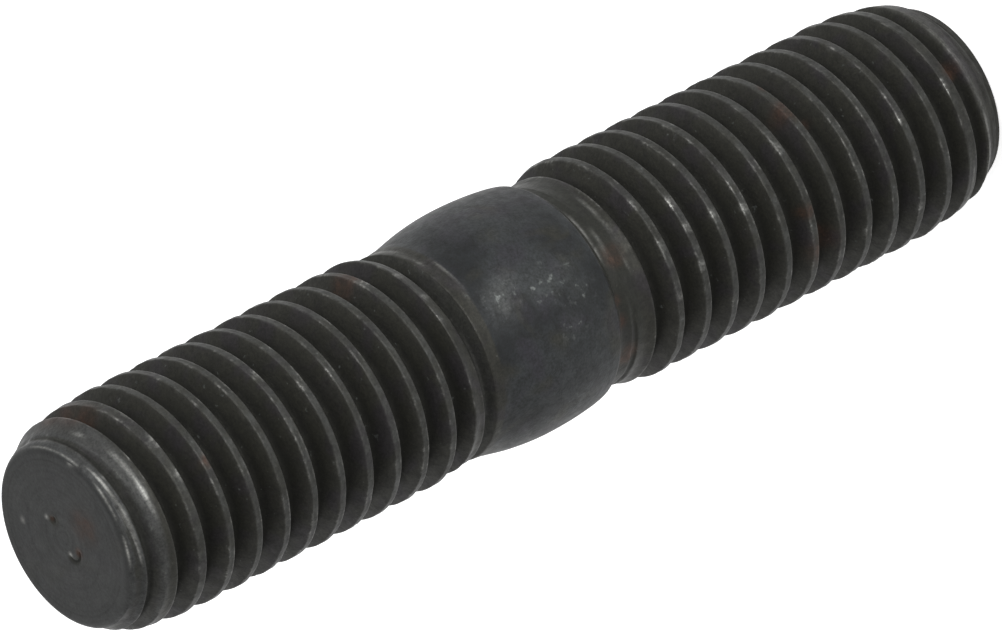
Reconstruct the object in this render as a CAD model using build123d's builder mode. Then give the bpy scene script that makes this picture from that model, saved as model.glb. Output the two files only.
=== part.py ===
from build123d import *
from math import cos, hypot, radians, tan
import os

# Double-ended wheel stud, turned and thread-rolled from one bar of steel. It carries an M10 x 1.5
# right-hand thread on each end and a plain barrel-shaped collar between them. It stands on its nut
# end: the axis is +Z, and the origin is the middle of the nut end's face. Lengths are in millimetres
# and angles in degrees. The threaded lengths have their true crest diameter, lead-in and run-out.

# Whole stud, and its threads, whose crests stay a little inside the nominal size
overall_length = 48.1
nominal_diameter = 10.0
pitch = 1.5
nut_crest_drop = 0.045
hub_crest_drop = 0.1

# Ends: a flat face, a chamfer up to the bar's surface, then a slower lead-in up to full crests
chamfer_depth = 0.763
face_edge_radius = 0.12
chamfer_angle = 30.0
lead_in_length = 2.5

# Nut end: where the crests fall away, and the plain neck of bar under the collar's shoulder
collar_bottom = 22.2
neck_length = 1.0
nut_crest_fall = 1.6
neck_fillet = 0.25

# Collar: a steep shoulder, a barrel, then a straight taper into the hub thread. Each rise is how far
# that place stands out from the bar's surface.
shoulder_rise = 0.34
shoulder_height = 0.08
shoulder_edge_radius = 0.15
collar_rise = 0.592
collar_peak_height = 2.69
barrel_length = 4.7
barrel_end_rise = 0.44
collar_length = 6.6
hub_land_rise = 0.127

# Hub end: a short land beside the collar, then crests that rise to full height
hub_land_length = 0.9
hub_crest_rise = 0.8

# An ISO metric thread is rolled on bar of its pitch diameter, three eighths of the sharp thread's
# height inside the nominal radius
flank_angle = 30.0
sharp_height = pitch * cos(radians(flank_angle))
bar_radius = nominal_diameter / 2 - 3 / 8 * sharp_height

face_radius = bar_radius - chamfer_depth
nut_crest_radius = nominal_diameter / 2 - nut_crest_drop
hub_crest_radius = nominal_diameter / 2 - hub_crest_drop
shoulder_radius = bar_radius + shoulder_rise
collar_radius = bar_radius + collar_rise
barrel_end_radius = bar_radius + barrel_end_rise
hub_land_radius = bar_radius + hub_land_rise
chamfer_length = chamfer_depth / tan(radians(chamfer_angle))
end_length = chamfer_length + lead_in_length
neck_bottom = collar_bottom - neck_length
shoulder_foot = collar_bottom - shoulder_height
collar_top = collar_bottom + collar_length
hub_land_top = collar_top + hub_land_length

# The shoulder's face is short, so it limits the two radii that share it
shoulder_face = hypot(shoulder_rise, shoulder_height)
shoulder_edge = min(shoulder_edge_radius, 0.5 * shoulder_face)
neck_corner = min(neck_fillet, 0.85 * shoulder_face)

with BuildPart() as stud:
    with BuildSketch(Plane.XZ) as half_section:
        with BuildLine():
            Polyline(
                (0, 0),
                (face_radius, 0),
                (bar_radius, chamfer_length),
                (nut_crest_radius, end_length),
                (nut_crest_radius, neck_bottom - nut_crest_fall),
                (bar_radius, neck_bottom),
                (bar_radius, shoulder_foot),
                (shoulder_radius, collar_bottom),
            )
            barrel = ThreePointArc(
                (shoulder_radius, collar_bottom),
                (collar_radius, collar_bottom + collar_peak_height),
                (barrel_end_radius, collar_bottom + barrel_length),
            )
            Polyline(
                barrel @ 1,
                (hub_land_radius, collar_top),
                (hub_land_radius, hub_land_top),
                (hub_crest_radius, hub_land_top + hub_crest_rise),
                (hub_crest_radius, overall_length - end_length),
                (bar_radius, overall_length - chamfer_length),
                (face_radius, overall_length),
                (0, overall_length),
                (0, 0),
            )
        make_face()
        for radius, height, edge_radius in (
            (face_radius, 0, face_edge_radius),
            (face_radius, overall_length, face_edge_radius),
            (shoulder_radius, collar_bottom, shoulder_edge),
            (bar_radius, shoulder_foot, neck_corner),
        ):
            corner = half_section.vertices().filter_by(
                lambda v: hypot(v.X - radius, v.Y - height) < 0.001
            )
            fillet(corner, edge_radius)
    revolve(axis=Axis.Z)

stud.part.label = "stud"
os.makedirs("parts", exist_ok=True)
export_step(stud.part, "parts/stud.step")
print(f"stud: {stud.part.volume:.1f} mm3, {stud.part.bounding_box().size}")
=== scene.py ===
import math

import bpy
import numpy as np
from mathutils import Matrix, Vector


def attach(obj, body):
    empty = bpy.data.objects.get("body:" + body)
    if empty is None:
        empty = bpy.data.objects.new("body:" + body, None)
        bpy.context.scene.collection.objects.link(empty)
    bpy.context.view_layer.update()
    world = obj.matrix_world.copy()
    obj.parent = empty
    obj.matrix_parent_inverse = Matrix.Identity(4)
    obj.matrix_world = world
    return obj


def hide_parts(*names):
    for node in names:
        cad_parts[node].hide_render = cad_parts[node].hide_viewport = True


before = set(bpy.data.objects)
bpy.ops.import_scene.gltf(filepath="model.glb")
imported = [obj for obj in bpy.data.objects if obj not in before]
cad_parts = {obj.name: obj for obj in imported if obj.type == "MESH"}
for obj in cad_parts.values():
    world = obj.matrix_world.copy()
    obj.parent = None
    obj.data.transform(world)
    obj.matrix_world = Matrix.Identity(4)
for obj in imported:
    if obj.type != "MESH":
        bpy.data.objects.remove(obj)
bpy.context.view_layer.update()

# The stud stands on its nut end. Heights and radii are in mm, and angles run from the front (-Y)
# towards +X. The hub end's face is the near one in the picture.
mm = 0.001
print("frame loaded:", sorted(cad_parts))


# camera: far off with a long lens, looking down on the stud from the front
camera = {
    "lens": 707.2,            # mm, from how the threads shrink towards the far end
    "sensor": 36,             # mm
    "lookDown": 34.16,        # degrees below the horizon
    "roll": 26.895,           # degrees between the stud's axis and the picture's level
    "aimHeight": 26.674,      # height of the aim point, which the offsets are taken from
    "offsetRight": -41.97,    # pixels from the picture's middle
    "offsetDown": 21.0,
    "distance": 19703.0,      # pixels
    "pixelsPerMm": 24.616,
    "clip": (0.05, 20),       # metres
}


def placeCamera(c):
    # the roll turns sideways and upward into right and down, which span the picture; the eye is the
    # aim point less the two offsets along them and the distance along forward
    tilt, roll = math.radians(c["lookDown"]), math.radians(c["roll"])
    forward = Vector((0, math.cos(tilt), -math.sin(tilt)))
    sideways = Vector((1, 0, 0))
    upward = Vector((0, math.sin(tilt), math.cos(tilt)))
    right = -math.sin(roll) * sideways - math.cos(roll) * upward
    down = -math.cos(roll) * sideways + math.sin(roll) * upward
    aim = Vector((0, 0, c["aimHeight"] * mm))
    offset = c["offsetRight"] * right + c["offsetDown"] * down + c["distance"] * forward
    data = bpy.data.cameras.new("camera")
    data.lens = c["lens"]
    data.sensor_width = c["sensor"]
    data.clip_start, data.clip_end = c["clip"]
    eye = bpy.data.objects.new("camera", data)
    turn = Matrix((right, -down, -forward)).transposed().to_4x4()
    eye.matrix_world = Matrix.Translation(aim - offset * mm / c["pixelsPerMm"]) @ turn
    bpy.context.scene.collection.objects.link(eye)
    bpy.context.scene.camera = eye


placeCamera(camera)
print("camera placed")


class Wire:
    # one output of a node; arithmetic on it adds Math nodes
    def __init__(self, sheet, socket):
        self.sheet, self.socket = sheet, socket

    def math(self, operation, first, second, clamp=False):
        # one Math node on two values, either of which may be a plain number
        settings = {"operation": operation, "use_clamp": clamp}
        return self.sheet.node("ShaderNodeMath", settings, {0: first, 1: second})

    def __add__(self, other):
        return self.math("ADD", self, other)

    def __radd__(self, other):
        return self.math("ADD", other, self)

    def __sub__(self, other):
        return self.math("SUBTRACT", self, other)

    def __rsub__(self, other):
        return self.math("SUBTRACT", other, self)

    def __mul__(self, other):
        return self.math("MULTIPLY", self, other)

    def __rmul__(self, other):
        return self.math("MULTIPLY", other, self)

    def clamped(self):
        # kept from 0 to 1
        return self.math("ADD", self, 0.0, clamp=True)

    def orMore(self, other):
        # the greater of the two
        return self.math("MAXIMUM", self, other)

    def between(self, low, high):
        # 0 below low, 1 above high, eased in between
        settings = {"interpolation_type": "SMOOTHSTEP"}
        inputs = {"Value": self, "From Min": low, "From Max": high}
        return self.sheet.node("ShaderNodeMapRange", settings, inputs)

    def inside(self, rise, fall):
        # 1 from the end of rise to the start of fall, eased to 0 outside them
        return self.between(*rise) * (1 - self.between(*fall))


class Sheet:
    # a node tree that is filled by name
    def __init__(self, tree):
        self.tree = tree
        tree.nodes.clear()

    def node(self, kind, settings=None, inputs=None, output=0):
        # a node of this kind: its settings first, then its inputs as values or links
        made = self.tree.nodes.new(kind)
        for name, value in (settings or {}).items():
            setattr(made, name, value)
        for name, value in (inputs or {}).items():
            if isinstance(value, Wire):
                self.tree.links.new(value.socket, made.inputs[name])
            else:
                made.inputs[name].default_value = value
        return Wire(self, made.outputs[output]) if made.outputs else made

    def mix(self, amount, first, second):
        # a colour that goes from first to second as amount goes from 0 to 1
        settings = {"data_type": "RGBA", "blend_type": "MIX", "clamp_factor": True}
        return self.node("ShaderNodeMix", settings, {0: amount, 6: first, 7: second}, output=2)

    def noise(self, place, size, detail, rough, bend=0.0):
        # cloudy pattern from 0 to 1 whose features are about size mm across
        inputs = {
            "Vector": place,
            "Scale": 1 / size,
            "Detail": detail,
            "Roughness": rough,
            "Distortion": bend,
        }
        return self.node("ShaderNodeTexNoise", {"noise_dimensions": "3D"}, inputs)


def newMaterial(name):
    # an empty material and the sheet that fills it
    material = bpy.data.materials.new(name)
    material.use_nodes = True
    return material, Sheet(material.node_tree)


# stud: its outline and its threads
stud = {
    "length": 48.1,
    "faceRadius": 3.80,
    # height and radius along the crests and the plain collar
    "outline": [
        (0.00, 3.80), (0.08, 3.90), (0.35, 4.03), (0.50, 4.13), (0.80, 4.33), (1.10, 4.49),
        (1.40, 4.60), (2.20, 4.74), (2.60, 4.81), (3.20, 4.88), (4.00, 4.955), (19.45, 4.955),
        (20.22, 4.68), (20.60, 4.60), (21.20, 4.56), (21.80, 4.555), (21.95, 4.58), (22.08, 4.67),
        (22.17, 4.80), (22.26, 4.87), (22.72, 4.955), (23.52, 5.05), (24.47, 5.10), (25.10, 5.105),
        (25.72, 5.085), (26.20, 5.04), (26.92, 4.955), (27.60, 4.81), (28.10, 4.70), (28.79, 4.65),
        (29.70, 4.66), (30.00, 4.76), (30.50, 4.90), (44.10, 4.90), (44.90, 4.85), (45.90, 4.73),
        (46.40, 4.67), (46.72, 4.635), (47.00, 4.485), (47.30, 4.315), (47.60, 4.14), (47.95, 3.96),
        (48.02, 3.90), (48.10, 3.80),
    ],
    "cornerBlend": 0.045,     # how far the outline's corners are rounded
    "barrelBlend": 0.30,      # the same between the barrel's two heights, where it is smoother
    "barrel": (22.7, 28.4),
    "barrelFade": 0.6,        # mm in which that comes in and goes out
    "heightBlend": 0.03,      # rounding of the heights, where each face meets the outline
    "hubEdgeBlend": 0.08,     # extra rounding of the hub face's edge
    "hubEdgeReach": 0.4,
    "pitch": 1.5,
    "flankAngle": 30.0,       # degrees, each side of a groove's middle
    "parting": 25,            # height that parts the nut thread from the hub thread
    "nutGroove": 0.35,        # height of a groove's middle on the front of the stud
    "hubGroove": 27.86,
    "nutSharpRoot": 3.93,     # radius at which the flanks would meet
    "hubSharpRoot": 3.8634,
    "endShallower": 0.05,     # how much shallower the first groove at the hub end is
    "endGroove": (46.7, 47.3),
    "rootRound": 0.16,
    "crestRound": 0.04,
    "crestHollow": 0.018,     # how deep the rolled hollow runs along the middle of each crest
    "hollowLand": 0.15,       # half width of the crest's land at which it is that deep
    "hollowFoot": (28.3, 29.0),    # above the collar it comes in between these heights
    "nutRunOut": 20.28,       # height where the nut thread starts to grow shallow
    "nutRunOutRise": 0.47,    # mm of root per mm of height
    "hubRunOut": 29.5,
    "hubRunOutRise": 0.60,
    "hubRunOutEnd": (28.20, 28.45),    # the last of the hub groove fills up here
    "leastCrest": 4.02,       # no thread where the outline is narrower than this
    "plainBar": (21.9, 27.6),    # no thread between these heights
    "coarseSize": 1.7,        # sizes of the random unevenness of hollows and chips
    "fineSize": 0.45,
    "waveSize": 0.9,          # the whole surface waves by this size and height, except near the faces
    "waveHeight": 0.006,
    "leastWave": 3.9,         # radius below which it is even
    "columns": 136,           # points round the stud
    "turns": 43,              # turns of the grid's rows
    "nutTurn": 4,             # the turns that start at nutGroove and at hubGroove
    "hubTurn": 24,
    "nutRows": (0.25, 20.9),  # heights between which the rows climb with the threads
    "hubRows": (27.5, 47.85),
    "rowSteps": (0, 0.1, 0.19, 0.33, 0.47, 0.56, 0.595, 0.63, 0.685),    # from a groove's middle
    "mouth": 0.595,           # the row step that lies on the edge of the groove's mouth
    "nutFit": ((-0.1, 0.6), (20.6, 21.2)),    # where rows start and stop keeping to the mouth
    "hubFit": ((26.6, 27.6), (46.9, 47.6)),
    "seed": 11,
}


def eased(value, low, high):
    # 0 below low and 1 above high; with t the share of the way between them, 3 t^2 - 2 t^3
    t = np.clip((value - low) / (high - low), 0, 1)
    return t * t * (3 - 2 * t)


def window(value, rise, fall):
    # 1 from the end of rise to the start of fall, eased to 0 outside them
    return eased(value, *rise) * (1 - eased(value, *fall))


def bell(distance, width):
    # 1 at no distance, falling as e to the minus (distance / width) squared
    return np.exp(-(distance / width) ** 2)


def smoothed(values, spread):
    # each value averaged with its neighbours, weighted by a bell curve with a deviation of spread
    reach = int(4 * spread)
    weights = np.exp(-0.5 * (np.arange(-reach, reach + 1) / spread) ** 2)
    return np.convolve(np.pad(values, reach, mode="edge"), weights / weights.sum(), mode="valid")


def outlineTable(s):
    # radius and height against station q: from 0 to the length q is the height, below 0 the line
    # runs out from the middle of the nut end's face, radius = face radius + q, and above the length
    # it runs in to the middle of the hub end's face; averaging along q rounds its corners
    length, face = s["length"], s["faceRadius"]
    step = 0.005              # mm of q from one entry to the next
    spare = 1                 # mm of table past the middle of each face
    q = np.arange(-face - spare, length + face + spare, step)
    heights, radii = np.array(s["outline"]).T
    radius = np.interp(q, heights, radii)
    radius = np.where(q < 0, face + q, radius)
    radius = np.where(q > length, face - (q - length), radius)
    height = np.clip(q, 0, length)
    sharp = smoothed(radius, s["cornerBlend"] / step)
    soft = smoothed(radius, s["barrelBlend"] / step)
    low, high = s["barrel"]
    barrel = np.clip((q - low) / s["barrelFade"], 0, 1) * np.clip((high - q) / s["barrelFade"], 0, 1)
    radius = sharp + (soft - sharp) * barrel
    nearEdge = np.exp(-((q - length) / s["hubEdgeReach"]) ** 4)
    edgeSpread = s["hubEdgeBlend"] / step
    radius = radius + (smoothed(radius, edgeSpread) - radius) * nearEdge
    pastMiddle = (np.abs(q - length / 2) - length / 2) / face >= 1
    radius = np.where(pastMiddle, 0, radius)
    height = smoothed(height, s["heightBlend"] / step)
    height = height + (smoothed(height, edgeSpread) - height) * nearEdge
    return q, np.maximum(radius, 0), height


def stationOf(s, turns):
    # station against turns of the helix, straight between knots: the rows climb with the threads,
    # and crowd together at the two face edges and the shoulder
    length, face, pitch = s["length"], s["faceRadius"], s["pitch"]
    nut, nutTurn, (nutLow, nutHigh) = s["nutGroove"], s["nutTurn"], s["nutRows"]
    hub, hubTurn, (hubLow, hubHigh) = s["hubGroove"], s["hubTurn"], s["hubRows"]
    spare, lip = 0.5, 0.15    # mm past the middle of each face, and of face beside its edge
    knots = [
        (0.0, -face - spare),                         # the whole first turn is past the middle
        (1.0, -face),                                 # the nut end's face
        (2.6, -lip),
        (nutTurn + (nutLow - nut) / pitch, nutLow),   # the nut thread
        (nutTurn + (nutHigh - nut) / pitch, nutHigh),
        (21.1, 22.75),                                # the shoulder ends, and the barrel starts
        (hubTurn + (hubLow - hub) / pitch, hubLow),   # the hub thread
        (hubTurn + (hubHigh - hub) / pitch, hubHigh),
        (38.4, length + lip),                         # the hub end's face
        (41.2, length + face),
        (43.2, length + face + spare),                # past its middle again
    ]
    knotTurns, knotStations = np.array(knots).T
    return np.interp(turns, knotTurns, knotStations)


def valueNoise(points, size, seed):
    # smooth random field from 0 to 1: random corners on a lattice of cells size mm wide, eased between
    side = 32                 # cells before the lattice repeats
    table = np.random.default_rng(seed).random((side, side, side))
    p = points / size + 100.0
    cell = np.floor(p).astype(int)
    part = p - cell
    part = part * part * (3 - 2 * part)
    total = np.zeros(points.shape[:-1])
    for corner in range(8):
        bit = np.array([corner & 1, corner >> 1 & 1, corner >> 2 & 1])
        at = (cell + bit) % side
        weight = np.prod(np.where(bit, part, 1 - part), axis=-1)
        total += weight * table[at[..., 0], at[..., 1], at[..., 2]]
    return total


class ThreadShape:
    # radius of the stud at a station and an angle round it from the front
    def __init__(self, s):
        self.s = s
        self.q, self.radius, self.height = outlineTable(s)
        self.slope = math.tan(math.radians(s["flankAngle"]))

    def crest(self, q):
        # radius of the outline at a station, from the table
        return np.interp(q, self.q, self.radius)

    def lift(self, middle):
        # how far the root has climbed where the groove's middle is at this height: nothing along the
        # thread, then in proportion to the height past the start of the run-out
        s = self.s
        nut = (middle - s["nutRunOut"]) * s["nutRunOutRise"]
        hub = (s["hubRunOut"] - middle) * s["hubRunOutRise"] + 1 - eased(middle, *s["hubRunOutEnd"])
        return np.maximum(0, np.where(middle < s["parting"], nut, hub))

    def sharp(self, middle):
        # radius at which the flanks would meet under the groove whose middle is at this height
        s = self.s
        nut = s["nutSharpRoot"] + np.zeros_like(middle)
        hub = s["hubSharpRoot"] + s["endShallower"] * eased(middle, *s["endGroove"])
        return np.where(middle < s["parting"], nut, hub) + self.lift(middle)

    def phase(self, height, angle):
        # signed distance to the nearest groove's middle, which climbs one pitch a turn
        s = self.s
        start = np.where(height < s["parting"], s["nutGroove"], s["hubGroove"])
        turns = (height - start) / s["pitch"] - angle / (2 * math.pi)
        return (turns - np.round(turns)) * s["pitch"]

    def groove(self, offset, middle):
        # radius of the groove's surface: two straight flanks, and a circle that touches both as root
        rootRound = self.s["rootRound"]
        away = np.abs(offset)
        flank = away / self.slope
        curve = 2 * rootRound - np.sqrt(np.maximum(0, rootRound ** 2 - away ** 2))
        reach = rootRound * math.cos(math.radians(self.s["flankAngle"]))
        return self.sharp(middle) + np.where(away < reach, curve, flank)

    def edge(self, middle, side):
        # half width of the groove at its mouth: the depth at the mouth times the flank's slope, which
        # settles over trials that each keep part of the last
        trials, keep, firstTrial, mostTrial = 40, 0.6, 0.6, 0.7
        narrowest, widest = 0.3, 0.62
        half = np.full_like(middle, firstTrial)
        for _ in range(trials):
            depth = self.crest(middle + side * half) - self.sharp(middle)
            half = keep * half + (1 - keep) * np.clip(depth * self.slope, 0, mostTrial)
        return np.clip(half, narrowest, widest)


def helixGrid(s, shape):
    # station and angle of each grid point: row k of a turn is at that turn + angle / 360 + its share.
    # Where there is a thread the shares are stretched, so that the rows keep to the groove's root,
    # flanks and mouth edges however wide the mouth is; elsewhere they are even.
    columns, pitch, turns = s["columns"], s["pitch"], s["turns"]
    steps = np.array(s["rowSteps"]) / pitch
    rows = np.concatenate([steps, [0.5], 1 - steps[:0:-1]])
    count = len(rows)
    angle = 2 * math.pi * np.arange(columns) / columns
    base = np.arange(turns)[:, None, None] + (angle / (2 * math.pi))[None, None, :]
    middle = stationOf(s, base)
    nextMiddle = stationOf(s, base + 1)
    up = shape.edge(middle, 1) / pitch
    down = 1 - shape.edge(nextMiddle, -1) / pitch
    k = rows[None, :, None]
    mouth = s["mouth"] / pitch
    low = k / mouth * up
    high = 1 - (1 - k) / mouth * (1 - down)
    land = up + (k - mouth) / (1 - 2 * mouth) * (down - up)
    threaded = np.where(k <= mouth, low, np.where(k >= 1 - mouth, high, land))
    even = np.arange(count)[None, :, None] / count
    inThread = window(middle, *s["nutFit"]) + window(middle, *s["hubFit"])
    share = even + (threaded - even) * inThread
    q = stationOf(s, base + share).reshape(turns * count, columns)
    return q, np.broadcast_to(angle, q.shape), count


# wear on the stud, each mark where the picture shows it
wear = {
    # height, degrees and radius of each spot
    "nicks": [
        (30.3, 44, 0.25), (30.2, 26, 0.20), (30.3, 13, 0.20), (31.8, 50, 0.35), (19.4, 19, 0.30),
        (19.4, -5, 0.45), (19.0, -31, 0.20), (17.8, 12, 0.35), (17.6, -2, 0.25), (17.6, -22, 0.25),
        (16.7, 39, 0.25), (32.3, 9, 0.15), (45.1, 44, 0.20), (44.9, 22, 0.45), (37.8, 14, 0.30),
        (39.0, 29, 0.35), (16.3, -2, 0.30), (14.7, -6, 0.30), (11.8, 12, 0.30), (5.8, -2, 0.30),
        (5.6, -50, 0.30), (2.9, 3, 0.35), (46.6, 22, 0.40), (46.7, 8, 0.35), (46.7, 1, 0.25),
        (44.9, 3, 0.30), (8.7, -48, 0.25),
    ],
    "rust": [
        (31.9, 60, 0.70), (21.2, 2, 0.50), (21.9, -32, 0.35), (21.5, -55, 0.55), (10.2, 27, 0.55),
        (10.0, 45, 0.30), (9.6, 19, 0.35), (10.9, -45, 0.80), (2.02, 9, 0.50), (46.2, 64, 0.75),
        (43.5, 2, 0.30), (11.6, -22, 0.35), (21.9, -20, 0.25), (46.3, 78, 0.80),
    ],
    "smears": [(27.2, 10, 0.55), (26.7, 14, 0.45), (27.4, 3, 0.45)],
    "specks": [
        (24.1, 7, 0.45), (24.9, 4, 0.70), (23.8, -6, 0.55), (25.7, 3, 0.45), (27.2, 9, 0.60),
        (26.6, 10, 0.35), (24.7, -18, 0.60), (24.5, -59, 0.40),
    ],
    # bare worn lines and painted highlight lines: height at the front, mm climbed in a turn, width,
    # first and last degree, strength
    "bareAndHighlightLines": [
        # the hub end's edge and its first groove's lips: bare, and partly painted highlight
        (47.99, 0.0, 0.035, -2, 19, 0.75),     # the hub end's rounded edge
        (47.98, 0.0, 0.035, -32, -17, 0.9),
        (47.99, 0.0, 0.035, 38, 80, 0.5),
        (47.69, 1.5, 0.035, -32, 30, 0.9),     # the lips of its first groove
        (47.05, 0.0, 0.050, 50, 53, 0.8),
        (46.68, 1.5, 0.025, -10, 30, 0.6),
        (28.40, 0.0, 0.05, 14, 44, 0.30),      # where the collar meets the hub thread
        (28.86, 0.0, 0.05, 46, 88, 0.50),
        # painted highlights along the shoulder's edge, its foot and the neck
        (22.20, 0.0, 0.05, -2, 32, 0.20),      # the shoulder's edge, its foot and the neck
        (21.84, 0.0, 0.08, 2, 32, 0.40),
        (21.45, 0.0, 0.10, 4, 18, 0.18),
        (20.77, 0.0, 0.06, -8, 42, 0.28),
        (1.36, 1.5, 0.06, -62, -20, 0.70),     # the lips of the first grooves at the nut end
        (1.36, 1.5, 0.12, -18, 78, 0.20),
        (2.45, 1.5, 0.06, -76, -44, 0.50),
    ],
    "smearStrength": 0.075,
    "chips": (0.55, 0.78),    # randomness at which the crest's edge starts to chip and is chipped
    "chipDepth": 0.035,
    "chipWidth": 0.16,
    "edgeWidth": 0.06,        # of the bare edge, in mm below the crest
    "runOutDull": ((27.5, 28.2), (28.9, 29.3)),    # the edges are less bare between these heights
    "dullness": 0.65,
    "fullLand": (4.70, 4.88),    # crest radius at which the rubbed land starts and is complete
    # the hub end's face, by x and y: spots with a radius, pits with a radius and a depth
    "faceRust": [(0.94, 0.18, 0.14), (-0.80, -0.50, 0.25), (0.0, -1.7, 0.75)],
    "faceBright": [(2.56, -2.84, 0.13), (1.4, 2.1, 0.12), (1.05, 0.42, 0.10), (-0.70, 0.12, 0.10)],
    # painted shade in the pit beside the rusty spot: x, y and radius
    "facePitShade": (0.84, 0.06, 0.27),
    "facePits": [
        (0.0, -0.05, 1.0, 0.020), (0.86, 0.10, 0.16, 0.07),
        (0.95, 0.25, 0.12, 0.04), (1.9, 1.2, 0.20, 0.012),
    ],
    # a scratched arc there, left of arcEnd: x, y, radius, width and depth
    "faceArc": (-0.72, -0.12, 0.36, 0.11, 0.06),
    "arcEnd": -0.62,
    "arcFade": 0.2,
}


def spotField(place, shape, spots):
    # 1 at the middle of each spot, falling away as a bell curve as wide as its radius
    total = np.zeros(place.shape[:-1])
    for height, degrees, size in spots:
        angle = math.radians(degrees)
        radius = float(shape.crest(height))
        centre = np.array([radius * math.sin(angle), -radius * math.cos(angle), height])
        total = np.maximum(total, np.exp(-np.sum((place - centre) ** 2, axis=-1) / size ** 2))
    return total


def bareAndHighlightStrength(height, angle, bareAndHighlightLines):
    # each line's level climbs with the angle; its strength falls off as a bell curve of the height
    # from that level, and is eased to 0 at both ends of its span
    fade = 5                  # degrees, each way
    degrees = np.degrees(np.where(angle > math.pi, angle - 2 * math.pi, angle))
    total = np.zeros(height.shape)
    for level, climb, width, low, high, strength in bareAndHighlightLines:
        span = window(degrees, (low - fade, low + fade), (high - fade, high + fade))
        total += strength * span * bell(height - level - climb * degrees / 360, width)
    return total


def studSurface(s, w):
    # radius = the lower of the crest outline and the groove, with a rounded meeting: half their sum
    # less half the root of their difference squared plus the rounding squared
    shape = ThreadShape(s)
    q, angle, turnRows = helixGrid(s, shape)
    height = np.interp(q, shape.q, shape.height)
    crest = shape.crest(q)
    offset = shape.phase(height, angle)
    middle = height - offset
    depth = crest - shape.sharp(middle)
    plainLow, plainHigh = s["plainBar"]
    threaded = (crest > s["leastCrest"]) & ((height < plainLow) | (height > plainHigh))
    clear = 1                 # mm that the groove stands off where there is no thread
    groove = np.where(threaded, shape.groove(offset, middle), crest + clear)
    onOutline = np.stack([crest * np.sin(angle), -crest * np.cos(angle), height], axis=-1)

    # the rolled hollow is deepest along the middle of each land, uneven, and gone where it is narrow
    halfPitch, leastLand = s["pitch"] / 2, 0.08
    landHalf = np.clip(halfPitch - depth * shape.slope, leastLand, halfPitch)
    inLand = np.clip(1 - ((halfPitch - np.abs(offset)) / landHalf) ** 2, 0, 1)
    coarse = valueNoise(onOutline, s["coarseSize"], s["seed"])
    fine = valueNoise(onOutline, s["fineSize"], s["seed"] + 1)
    uneven = (0.4 + 1.2 * coarse) * np.clip(landHalf / s["hollowLand"], 0, 3)
    hollow = s["crestHollow"] * inLand * uneven * threaded
    hollow = hollow * np.where(height < s["parting"], 1, eased(height, *s["hollowFoot"]))

    gap = crest - groove      # depth of the groove's surface below the outline, under 0 on a land
    chips = eased(fine * 0.6 + coarse * 0.4, *w["chips"]) * bell(gap, w["chipWidth"])
    crestNow = crest - hollow - w["chipDepth"] * chips * threaded
    r = 0.5 * (crestNow + groove - np.sqrt((crestNow - groove) ** 2 + s["crestRound"] ** 2))
    r = np.where(threaded, r, crest)
    wave = valueNoise(onOutline, s["waveSize"], s["seed"] + 2) - 0.5
    r = r + s["waveHeight"] * wave * (crest > s["leastWave"])
    place = np.stack([r * np.sin(angle), -r * np.cos(angle), height], axis=-1)

    # marks for the finish, each from 0 to 1; all of the thread's own fade where it runs out
    fullDepth = 1 - eased(shape.lift(middle), 0.02, 0.30)
    atEdge = bell(gap + 0.02, w["edgeWidth"]) * threaded * (0.10 + 0.90 * fullDepth)
    atEdge = atEdge * (1 - w["dullness"] * window(height, *w["runOutDull"]))
    deepest = np.maximum(0.10, depth - s["rootRound"])
    rubbed = eased(-gap, -0.05, 0.07) * eased(crest, *w["fullLand"])
    smears = w["smearStrength"] * spotField(place, shape, w["smears"])
    marks = {
        "edgeWear": atEdge,
        "crestLand": rubbed * threaded * fullDepth,
        "grooveDepthAndPitShade": np.clip((crest - r) / deepest, 0, 1) * (0.3 + 0.7 * fullDepth) * threaded,
        # arc: bare lines, painted highlight lines and smears
        "arc": np.maximum(bareAndHighlightStrength(height, angle, w["bareAndHighlightLines"]), smears),
        "nick": spotField(place, shape, w["nicks"]),
        "rust": spotField(onOutline, shape, w["rust"]),
        "speck": spotField(place, shape, w["specks"]),
    }
    return place, marks, q, turnRows


def roughenFace(place, q, s, marks, w):
    # the hub end's face sinks by the sum of its pits, each depth * e to the minus (distance / radius)
    # to the fourth, and a scratched arc; the arc is dark, one spot is painted shade in a pit, and
    # others are rusty or bright
    x, y = place[..., 0], place[..., 1]
    top = q > s["length"] - 0.01    # the face itself, to its edge
    relief = np.zeros(q.shape)
    for pitX, pitY, size, depth in w["facePits"]:
        relief += depth * np.exp(-(np.hypot(x - pitX, y - pitY) / size) ** 4)
    arcX, arcY, radius, width, arcDepth = w["faceArc"]
    arc = bell(np.hypot(x - arcX, y - arcY) - radius, width) * eased(w["arcEnd"] - x, 0, w["arcFade"])
    relief += arcDepth * arc
    place[..., 2] -= relief * top

    def spot(spotX, spotY, size):
        # a bell curve of the distance from one point of the face
        return bell(np.hypot(x - spotX, y - spotY), size) * top

    # the pit's painted shade and the dark arc take the colour of the groove roots
    pitShadeAndDarkArc = np.maximum(spot(*w["facePitShade"]), arc * top)
    marks["grooveDepthAndPitShade"] = np.maximum(marks["grooveDepthAndPitShade"], pitShadeAndDarkArc)
    for mark, spots in (("rust", w["faceRust"]), ("arc", w["faceBright"])):
        for each in spots:
            marks[mark] = np.maximum(marks[mark], spot(*each))
    return place


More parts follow.
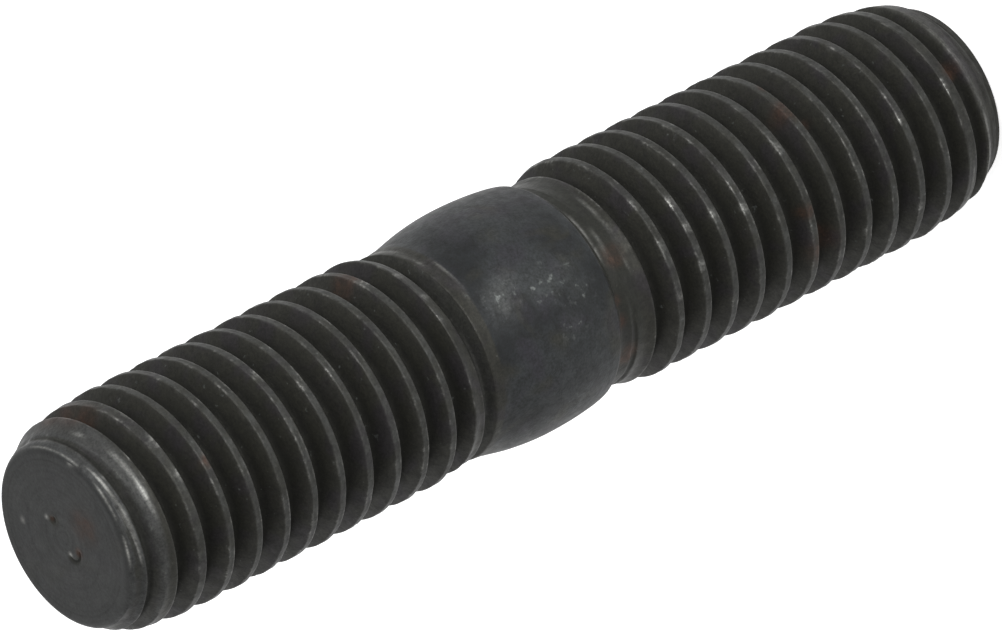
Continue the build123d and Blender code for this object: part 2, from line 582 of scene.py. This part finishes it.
def gridToMesh(name, place, marks, q, turnRows, s):
    # triangles between neighbouring rows; the last column meets the first one turn further up, and
    # every point past the middle of a face becomes that face's one middle point
    rows, columns = q.shape
    index = np.arange(rows * columns).reshape(rows, columns)
    lowEnd = q <= -s["faceRadius"]
    highEnd = q >= s["length"] + s["faceRadius"]
    index = np.where(lowEnd, index[0, 0], np.where(highEnd, index[-1, -1], index))
    here = index[:-1, :]
    above = index[1:, :]
    wrap = np.full((rows, 1), index[-1, -1])
    wrap[: rows - turnRows, 0] = index[turnRows:, 0]
    nextColumn = np.concatenate([index[:, 1:], wrap], axis=1)
    beside = nextColumn[:-1, :]
    diagonal = nextColumn[1:, :]
    first = np.stack([here, beside, diagonal], axis=-1).reshape(-1, 3)
    second = np.stack([here, diagonal, above], axis=-1).reshape(-1, 3)
    triangles = np.concatenate([first, second])
    a, b, c = triangles.T
    triangles = triangles[(a != b) & (b != c) & (c != a)]
    used, triangles = np.unique(triangles, return_inverse=True)
    triangles = triangles.reshape(-1, 3)
    points = place.reshape(-1, 3)[used]

    mesh = bpy.data.meshes.new(name)
    mesh.vertices.add(len(points))
    mesh.vertices.foreach_set("co", (points * mm).ravel())
    mesh.loops.add(triangles.size)
    mesh.loops.foreach_set("vertex_index", triangles.ravel())
    mesh.polygons.add(len(triangles))
    mesh.polygons.foreach_set("loop_start", np.arange(0, triangles.size, 3))
    mesh.polygons.foreach_set("use_smooth", np.ones(len(triangles), dtype=bool))
    mesh.update(calc_edges=True)
    mesh.validate()
    for mark, values in marks.items():
        layer = mesh.attributes.new(mark, "FLOAT", "POINT")
        layer.data.foreach_set("value", values.reshape(-1)[used].astype(np.float32))
    piece = bpy.data.objects.new(name, mesh)
    bpy.context.scene.collection.objects.link(piece)
    return piece


place, marks, q, turnRows = studSurface(stud, wear)
place = roughenFace(place, q, stud, marks, wear)
studBar = gridToMesh("stud_bar", place, marks, q, turnRows, stud)
print("stud surface:", len(studBar.data.vertices), "points,", len(studBar.data.polygons), "triangles")


# dark steel: the stud's finish
steel = {
    # colours
    "plain": (0.026, 0.029, 0.0305, 1),
    "plainDark": (0.009, 0.0105, 0.0115, 1),
    "plainViolet": (0.026, 0.022, 0.031, 1),
    "plainOlive": (0.028, 0.027, 0.018, 1),
    "thread": (0.0215, 0.0212, 0.0168, 1),
    "threadViolet": (0.0220, 0.0200, 0.0212, 1),
    # groove bottoms: partly dirt, partly painted shade; also painted shade on the nut end's chamfer
    "root": (0.0115, 0.0115, 0.0092, 1),
    "neck": (0.0135, 0.0145, 0.0112, 1),
    "land": (0.039, 0.040, 0.037, 1),
    "rim": (0.046, 0.047, 0.046, 1),
    # bare steel, and painted highlights along some edges
    "bareAndHighlightGrey": (0.36, 0.36, 0.34, 1),
    "speck": (0.13, 0.14, 0.135, 1),
    "rust": (0.052, 0.024, 0.014, 1),
    "shadow": (0.005, 0.005, 0.0045, 1),
    # the most that each layer covers
    "violetShare": 0.45,
    "oliveShare": 0.6,
    "neckShare": 0.8,
    "shallowShare": 0.5,
    "tipShadeShare": 0.4,
    "strayShare": 0.35,
    "rustShare": 0.75,
    # surface where the steel isn't bare
    "metallic": 0.35,
    "roughness": 0.54,
    "specular": 0.2,
    "bumpStrength": 0.6,
    "bumpDepth": 0.00002,     # metres
    # zones up the stud: the heights at which each border starts and is complete
    "nutFace": (0.02, 0.10),
    "tipFoot": (0.02, 0.06),
    "tipTop": (0.85, 1.05),
    "neckFoot": (20.5, 20.9),
    "collarFoot": (22.1, 22.2),
    "collarTop": (28.34, 28.46),
    "runOutFoot": (27.7, 28.1),
    "runOutTop": (29.1, 29.5),
    "rimFoot": (46.40, 46.70),
    "endGroove": (46.7, 47.2),
    "hubChamfer": (47.25, 47.40),
    "faceEdge": (47.97, 48.08),
    "face": (47.98, 48.06),
}


def steelMaterial(c):
    # black oxide over steel: plain places are a bluish cloud, grooves are darker and warmer, partly
    # dirt and partly painted shade, crests are rubbed grey and their edges bare; each layer is mixed
    # over the last by its own mask
    material, sheet = newMaterial("dark_steel")
    coordinate = sheet.node("ShaderNodeTexCoord", output="Object")
    inMm = sheet.node("ShaderNodeVectorMath", {"operation": "SCALE"}, {0: coordinate, "Scale": 1 / mm})
    height = sheet.node("ShaderNodeSeparateXYZ", None, {0: inMm}, output=2)
    across = sheet.node("ShaderNodeVectorMath", {"operation": "MULTIPLY"}, {0: inMm, 1: (1, 1, 0)})
    radius = sheet.node("ShaderNodeVectorMath", {"operation": "LENGTH"}, {0: across}, output="Value")

    def mark(name):
        # one of the marks that the surface carries
        return sheet.node("ShaderNodeAttribute", {"attribute_name": name}, output="Fac")

    edge, land, depth, arc = mark("edgeWear"), mark("crestLand"), mark("grooveDepthAndPitShade"), mark("arc")
    nick, rusted, specked = mark("nick"), mark("rust"), mark("speck")

    # patterns, by size in mm, detail, roughness and distortion
    cloud = sheet.noise(inMm, 2.6, 4.0, 0.55)
    tint = sheet.noise(inMm, 1.7, 3.0, 0.5, 0.6)
    olive = sheet.noise(inMm, 2.1, 3.0, 0.5, 0.8)
    wearCloud = sheet.noise(inMm, 0.9, 2.0, 0.5, 0.3)
    patchy = sheet.noise(inMm, 0.6, 3.0, 0.6)
    mottle = sheet.noise(inMm, 0.5, 3.0, 0.6, 0.5)
    dots = sheet.noise(inMm, 0.30, 2.0, 0.5)
    flecks = sheet.noise(inMm, 0.15, 1.0, 0.5).between(0.42, 0.64)
    grain = sheet.noise(inMm, 0.11, 3.0, 0.65)
    rings = sheet.noise(radius, 0.5, 3.0, 0.6)    # faint turning rings on the end face

    # the plain collar and end faces, and the threads
    ends = height.between(*c["hubChamfer"]) + (1 - height.between(*c["nutFace"]))
    plain = (height.inside(c["collarFoot"], c["collarTop"]) + ends).clamped()
    plain = plain * (1 - depth.between(0.15, 0.35))
    colour = sheet.mix(cloud.between(0.35, 0.65), c["plainDark"], c["plain"])
    colour = sheet.mix(tint.between(0.50, 0.70) * c["violetShare"], colour, c["plainViolet"])
    colour = sheet.mix(olive.between(0.52, 0.72) * c["oliveShare"], colour, c["plainOlive"])
    flank = sheet.mix(tint.between(0.48, 0.66), c["thread"], c["threadViolet"])
    # the flank darkens to the root colour towards the groove's bottom: partly dirt, partly painted
    # shade
    thread = sheet.mix(depth.between(0.45, 0.95), flank, c["root"])
    colour = sheet.mix(plain, thread, colour)

    # the rim round the hub end's face, the neck, shallow grooves and painted shade on the nut end's
    # chamfer
    rim = height.between(*c["rimFoot"]) * (1 - depth.between(0.05, 0.5))
    rim = rim * (0.55 + 0.55 * wearCloud - 0.10 * height.between(*c["faceEdge"]))
    colour = sheet.mix(rim, colour, c["rim"])
    neck = height.inside(c["neckFoot"], c["collarFoot"]) * (1 - depth)
    colour = sheet.mix(neck * c["neckShare"], colour, c["neck"])
    shallow = height.inside(c["runOutFoot"], c["runOutTop"]) * depth.between(0.02, 0.25)
    shallow = shallow + height.between(*c["endGroove"]) * depth.between(0.02, 0.25) * 0.6
    colour = sheet.mix((shallow * c["shallowShare"]).clamped(), colour, c["land"])
    # painted shade: the nut end's chamfer, which faces down by the floor, is darkened towards the root
    # colour
    tipShadeZone = height.inside(c["tipFoot"], c["tipTop"])
    colour = sheet.mix(tipShadeZone * c["tipShadeShare"], colour, c["root"])

    # rubbed lands, bare edges, nicks, bare lines and painted highlight lines, bright specks and rust
    rubbed = land * (0.20 + 0.80 * patchy.between(0.36, 0.66))
    colour = sheet.mix(rubbed.clamped(), colour, c["land"])
    bareAndHighlightMask = edge * (0.04 + 0.62 * wearCloud.between(0.50, 0.74))
    bareAndHighlightMask = bareAndHighlightMask + nick.between(0.15, 1.0) * (0.9 * edge + 0.5 * land)
    bareAndHighlightMask = bareAndHighlightMask * (0.45 + 0.85 * flecks)
    # arc adds bare lines and painted highlights along the shoulder, the neck and the hub end's edges
    bareAndHighlightMask = (bareAndHighlightMask + arc * (0.35 + 0.65 * wearCloud.between(0.35, 0.55))).clamped()
    colour = sheet.mix((bareAndHighlightMask * 0.6 + arc * 0.25).clamped(), colour, c["bareAndHighlightGrey"])
    colour = sheet.mix(specked * (0.12 + 0.8 * dots.between(0.575, 0.69)), colour, c["speck"])
    stray = dots.between(0.70, 0.76) * (1 - plain)
    colour = sheet.mix(stray * c["strayShare"], colour, c["speck"])
    rust = rusted.between(0.05, 0.9) * (0.3 + 0.7 * patchy.between(0.25, 0.65))
    colour = sheet.mix(rust * c["rustShare"], colour, c["rust"])

    # dark grain over everything, with half of it changed for rings and cloud on the end face
    face = height.between(*c["face"])
    shadow = grain.between(0.25, 0.75) * 0.5 + mottle.between(0.3, 0.7) * 0.25
    shadow = shadow * (1 - 0.55 * face) + face * (0.20 + (rings - 0.5) * 1.1 + (cloud - 0.5) * 0.6)
    colour = sheet.mix(shadow, colour, c["shadow"])

    bump = {
        "Strength": c["bumpStrength"],
        "Distance": c["bumpDepth"],
        "Height": (grain * 0.7 + patchy * 0.5 + mottle * 0.8) * (1 - 0.5 * face),
    }
    rough = c["roughness"] - 0.10 * bareAndHighlightMask + (grain - 0.5) * 0.12
    rough = rough + 0.30 * depth.between(0.6, 0.95) + 0.15 * tipShadeZone
    rough = rough + (mottle - 0.5) * 0.30 * (1 - 0.6 * face)
    finish = {
        "Base Color": colour,
        "Metallic": (c["metallic"] + 0.5 * bareAndHighlightMask).clamped(),
        "Roughness": rough.clamped(),
        "Normal": sheet.node("ShaderNodeBump", None, bump),
        "Specular IOR Level": c["specular"],
    }
    shader = sheet.node("ShaderNodeBsdfPrincipled", None, finish)
    sheet.node("ShaderNodeOutputMaterial", None, {"Surface": shader})
    return material


studBar.data.materials.append(steelMaterial(steel))
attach(studBar, "root")
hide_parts("stud")
print("steel finished")


# studio: floor, world and lamps
studio = {
    "ambient": 0.40,
    "floorReach": 4.0,        # metres from the middle to each side
    "floorColour": (0.85, 0.85, 0.85, 1),
    "floorGlow": 0.70,        # added for the camera, so that the lit floor is white
    "lampAim": (0, 0, 0.024),
    # place in metres, width and watts
    "lamps": {
        "key": ((0.45, -0.25, 0.40), 0.40, 2.4),
        "front": ((0.045, -0.38, 0.05), 0.08, 1.3),
        "back": ((-0.30, 0.50, 0.50), 0.60, 1.1),
    },
}


def whiteForViewers(sheet):
    # 1 for rays that come from the camera or from a shiny or clear surface: the greatest of the three
    rays = ("Is Camera Ray", "Is Glossy Ray", "Is Transmission Ray")
    seen, shiny, clear = [sheet.node("ShaderNodeLightPath", output=ray) for ray in rays]
    return seen.orMore(shiny).orMore(clear)


def makeWorld(c):
    # white to the camera, and dimmer as a light
    world = bpy.data.worlds.new("studio")
    world.use_nodes = True
    sheet = Sheet(world.node_tree)
    dim = sheet.node("ShaderNodeBackground", None, {"Color": (1, 1, 1, 1), "Strength": c["ambient"]})
    white = sheet.node("ShaderNodeBackground", None, {"Color": (1, 1, 1, 1), "Strength": 1.0})
    both = sheet.node("ShaderNodeMixShader", None, {0: whiteForViewers(sheet), 1: dim, 2: white})
    sheet.node("ShaderNodeOutputWorld", None, {"Surface": both})
    bpy.context.scene.world = world


def makeFloor(c):
    # one square under the stud, of diffuse paint plus a glow that only viewers see
    mesh = bpy.data.meshes.new("floor")
    reach = c["floorReach"]
    corners = [(-reach, -reach, 0), (reach, -reach, 0), (reach, reach, 0), (-reach, reach, 0)]
    mesh.from_pydata(corners, [], [(0, 1, 2, 3)])
    floor = bpy.data.objects.new("floor", mesh)
    bpy.context.scene.collection.objects.link(floor)
    material, sheet = newMaterial("floor")
    paint = sheet.node("ShaderNodeBsdfDiffuse", None, {"Color": c["floorColour"]})
    glow = sheet.node("ShaderNodeEmission", None, {"Strength": whiteForViewers(sheet) * c["floorGlow"]})
    both = sheet.node("ShaderNodeAddShader", None, {0: paint, 1: glow})
    sheet.node("ShaderNodeOutputMaterial", None, {"Surface": both})
    mesh.materials.append(material)


def makeLamps(c):
    # square lamps that each face the aim point, and that the camera doesn't see
    aim = Vector(c["lampAim"])
    for name, (spot, width, watts) in c["lamps"].items():
        data = bpy.data.lights.new(name, "AREA")
        data.shape = "SQUARE"
        data.size = width
        data.energy = watts
        lamp = bpy.data.objects.new(name, data)
        lamp.location = spot
        lamp.rotation_euler = (aim - Vector(spot)).to_track_quat("-Z", "Y").to_euler()
        lamp.visible_camera = False
        bpy.context.scene.collection.objects.link(lamp)


makeWorld(studio)
makeFloor(studio)
makeLamps(studio)
bpy.context.scene.view_settings.view_transform = "Standard"
print("studio ready")
